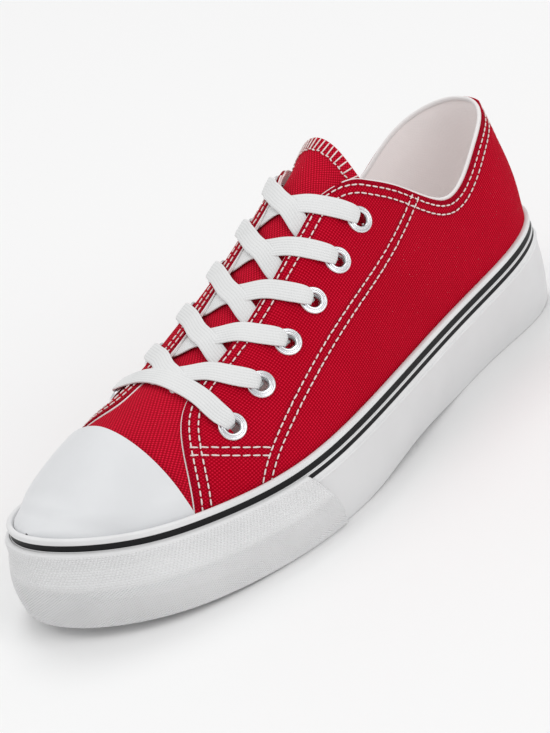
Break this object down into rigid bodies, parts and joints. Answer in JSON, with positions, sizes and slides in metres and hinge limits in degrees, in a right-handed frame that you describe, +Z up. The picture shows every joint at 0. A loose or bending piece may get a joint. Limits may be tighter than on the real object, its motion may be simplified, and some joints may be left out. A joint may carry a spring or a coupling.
{
  "type": "canvas sneaker",
  "caption": "Low lace-up canvas sneaker on a thick platform sole, with a rubber toe cap, textured toe bumper, striped side band and flat laces.",
  "frame": {"origin": "on the floor, under the middle of the shoe's length and width", "axes": "+Z up, +Y towards the heel, -Y towards the toe, +X towards the outer side of this left shoe"},
  "size_m": [0.105, 0.278, 0.1144],
  "materials": {
    "white_rubber": "satin white moulded rubber",
    "textured_rubber": "white rubber with fine raised dots and diamond ribs",
    "cap_rubber": "smooth, slightly glossy white rubber",
    "canvas": "red plain-weave cotton canvas",
    "lining_cotton": "matte off-white cotton",
    "lace_cotton": "flat woven white cotton",
    "eyelet_metal": "polished silver-coloured metal"
  },
  "bodies": {
    "root": {"outsole": "white_rubber", "foxing": "white_rubber", "toe_bumper": "textured_rubber", "toe_cap": "cap_rubber", "upper": "canvas", "tongue": "canvas", "insole": "lining_cotton", "eyelet_lateral_1": "eyelet_metal", "eyelet_lateral_2": "eyelet_metal", "eyelet_lateral_3": "eyelet_metal", "eyelet_lateral_4": "eyelet_metal", "eyelet_lateral_5": "eyelet_metal", "eyelet_lateral_6": "eyelet_metal", "eyelet_medial_1": "eyelet_metal", "eyelet_medial_2": "eyelet_metal", "eyelet_medial_3": "eyelet_metal", "eyelet_medial_4": "eyelet_metal", "eyelet_medial_5": "eyelet_metal", "eyelet_medial_6": "eyelet_metal", "lace_bar_6": "lace_cotton", "lace_cross_5": "lace_cotton", "lace_cross_4": "lace_cotton", "lace_cross_3": "lace_cotton", "lace_cross_2": "lace_cotton", "lace_cross_1": "lace_cotton"}
  },
  "joints": []
}
